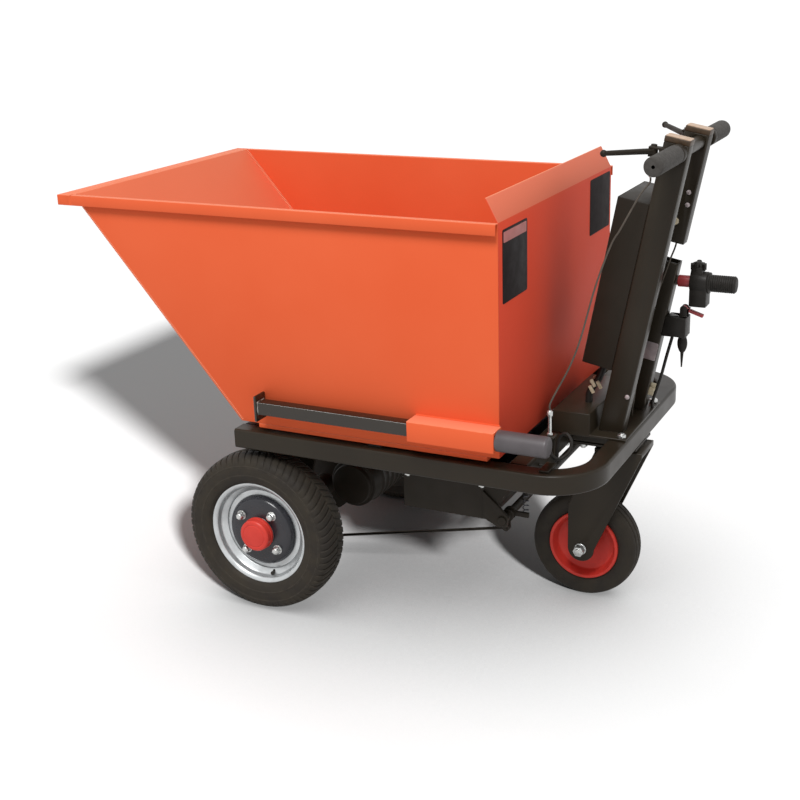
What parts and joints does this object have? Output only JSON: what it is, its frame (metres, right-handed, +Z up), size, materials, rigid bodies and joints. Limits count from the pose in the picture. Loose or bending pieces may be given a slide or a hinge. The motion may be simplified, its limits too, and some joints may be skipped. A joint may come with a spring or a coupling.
{
  "type": "concrete buggy",
  "caption": "Walk-behind concrete buggy: steel hopper that tips forward on a tubular frame, driven front wheels, a swivelling rear caster and a leaning mast with handlebar and controls",
  "frame": {"origin": "on the ground, in the middle of the part's length and width", "axes": "+X forward, the way the hopper tips; +Y to the operator's left; +Z up"},
  "size_m": [1.617, 0.892, 1.216],
  "materials": {
    "hopper_paint": "gloss orange enamel",
    "frame_paint": "gloss black enamel",
    "machine_paint": "satin black",
    "red_paint": "gloss red enamel",
    "rim_paint": "silver enamel",
    "zinc": "zinc plated",
    "spring_steel": "oiled",
    "heat_sink": "cast",
    "tyre_rubber": "matte",
    "black_rubber": "matte",
    "grey_rubber": "satin",
    "foam": "soft matte",
    "black_plastic": "moulded",
    "tan_plastic": "moulded",
    "red_plastic": "moulded",
    "battery_case": "moulded"
  },
  "bodies": {
    "chassis": {"frame_rails": "frame_paint", "rear_loop": "frame_paint", "cross_members": "frame_paint", "axle_carriers": "frame_paint", "rest_pads": "black_rubber", "battery_box": "frame_paint", "batteries": "battery_case", "axle_housing": "machine_paint", "drive_motor": "machine_paint", "caster_mount": "frame_paint", "mast_base": "frame_paint", "mast_uprights": "frame_paint", "tube_caps": "tan_plastic", "control_box": "frame_paint", "control_cover": "frame_paint", "motor_controller": "heat_sink", "handlebar": "frame_paint", "foam_grips": "foam", "lever_perches": "machine_paint", "throttle_collar": "red_plastic", "throttle_housing": "black_plastic", "switch_box": "black_plastic", "cable_stand": "frame_paint", "cable_adjusters": "zinc", "brake_cables": "black_rubber", "wiring_harness": "black_rubber", "frame_bolts": "zinc", "return_spring": "spring_steel"},
    "wheel_left": {"tyre_left": "tyre_rubber", "rim_left": "rim_paint", "hub_left": "frame_paint", "nuts_left": "zinc", "cap_left": "red_paint"},
    "wheel_right": {"tyre_right": "tyre_rubber", "rim_right": "rim_paint", "hub_right": "frame_paint", "nuts_right": "zinc", "cap_right": "red_paint"},
    "caster": {"caster_fork": "frame_paint", "caster_axle": "zinc"},
    "caster_wheel": {"caster_rim": "red_paint", "caster_tyre": "tyre_rubber"},
    "hopper": {"hopper_side_left": "hopper_paint", "hopper_side_right": "hopper_paint", "hopper_floor": "hopper_paint", "hopper_slope": "hopper_paint", "hopper_rear": "hopper_paint", "rim_bands": "hopper_paint", "hopper_underframe": "hopper_paint", "lever_sleeve": "hopper_paint"},
    "tipping_lever": {"tip_lever": "frame_paint", "tip_grip": "grey_rubber"},
    "left_brake_lever": {"brake_lever_left": "machine_paint"},
    "right_brake_lever": {"brake_lever_right": "machine_paint"},
    "throttle": {"throttle_grip": "black_rubber"},
    "direction_lever": {"direction_switch": "red_plastic"},
    "key": {"ignition_key": "black_plastic"},
    "brake_cross_shaft": {"brake_shaft": "machine_paint"},
    "brake_pull_rods": {"brake_rods": "machine_paint"},
    "brake_cam_levers": {"brake_cams": "machine_paint"}
  },
  "joints": [
    {"name": "wheel_left_spin", "type": "hinge", "parent": "chassis", "child": "wheel_left", "pos_m": [0.27145, 0.38, 0.212], "axis": [0, 1, 0], "continuous": true},
    {"name": "wheel_right_spin", "type": "hinge", "parent": "chassis", "child": "wheel_right", "pos_m": [0.27145, -0.38, 0.212], "axis": [0, 1, 0], "continuous": true},
    {"name": "caster_swivel", "type": "hinge", "parent": "chassis", "child": "caster", "pos_m": [-0.56655, 0, 0.42], "axis": [0, 0, 1], "continuous": true},
    {"name": "caster_spin", "type": "hinge", "parent": "caster", "child": "caster_wheel", "pos_m": [-0.47255, 0, 0.141], "axis": [0, 1, 0], "continuous": true},
    {"name": "hopper_tip", "type": "hinge", "parent": "chassis", "child": "hopper", "pos_m": [0.34245, 0, 0.484], "axis": [0, 1, 0], "range_deg": [0, 70]},
    {"name": "tip_lever_slide", "type": "slide", "parent": "hopper", "child": "tipping_lever", "axis": [-1, 0, 0], "range_m": [0, 0.4]},
    {"name": "brake_shaft_turn", "type": "hinge", "parent": "chassis", "child": "brake_cross_shaft", "pos_m": [-0.37155, 0, 0.324], "axis": [0, 1, 0], "range_deg": [0, 20], "stiffness_Nm_per_rad": 20, "deforming": ["return_spring"]},
    {"name": "brake_rod_swing", "type": "hinge", "parent": "brake_cross_shaft", "child": "brake_pull_rods", "pos_m": [-0.37155, 0, 0.296], "axis": [0, 1, 0], "range_deg": [-20, 0]},
    {"name": "brake_cam_turn", "type": "hinge", "parent": "chassis", "child": "brake_cam_levers", "pos_m": [0.21245, 0, 0.209], "axis": [0, 1, 0], "range_deg": [0, 13.1]},
    {"name": "brake_lever_left_pull", "type": "hinge", "parent": "chassis", "child": "left_brake_lever", "pos_m": [-0.65359, 0.124, 1.18174], "axis": [-0.0872, 0, 0.9962], "range_deg": [0, 25]},
    {"name": "brake_lever_right_pull", "type": "hinge", "parent": "chassis", "child": "right_brake_lever", "pos_m": [-0.65359, -0.16, 1.18174], "axis": [0.0872, 0, -0.9962], "range_deg": [0, 25], "stiffness_Nm_per_rad": 1.5},
    {"name": "throttle_twist", "type": "hinge", "parent": "chassis", "child": "throttle", "pos_m": [-0.77455, -0.09, 0.837], "axis": [-1, 0, 0], "range_deg": [0, 60], "stiffness_Nm_per_rad": 0.4},
    {"name": "direction_tilt", "type": "hinge", "parent": "chassis", "child": "direction_lever", "pos_m": [-0.68355, -0.09, 0.768], "axis": [0, 1, 0], "range_deg": [-8, 8]},
    {"name": "key_turn", "type": "hinge", "parent": "chassis", "child": "key", "pos_m": [-0.68155, -0.09, 0.69], "axis": [0, 0, 1], "range_deg": [0, 60]}
  ],
  "couplings": [
    {"joint": "brake_rod_swing", "follows": "brake_shaft_turn", "ratio": -1},
    {"joint": "brake_cam_turn", "follows": "brake_shaft_turn", "ratio": 0.65},
    {"joint": "brake_lever_left_pull", "follows": "brake_shaft_turn", "ratio": 1.25}
  ]
}
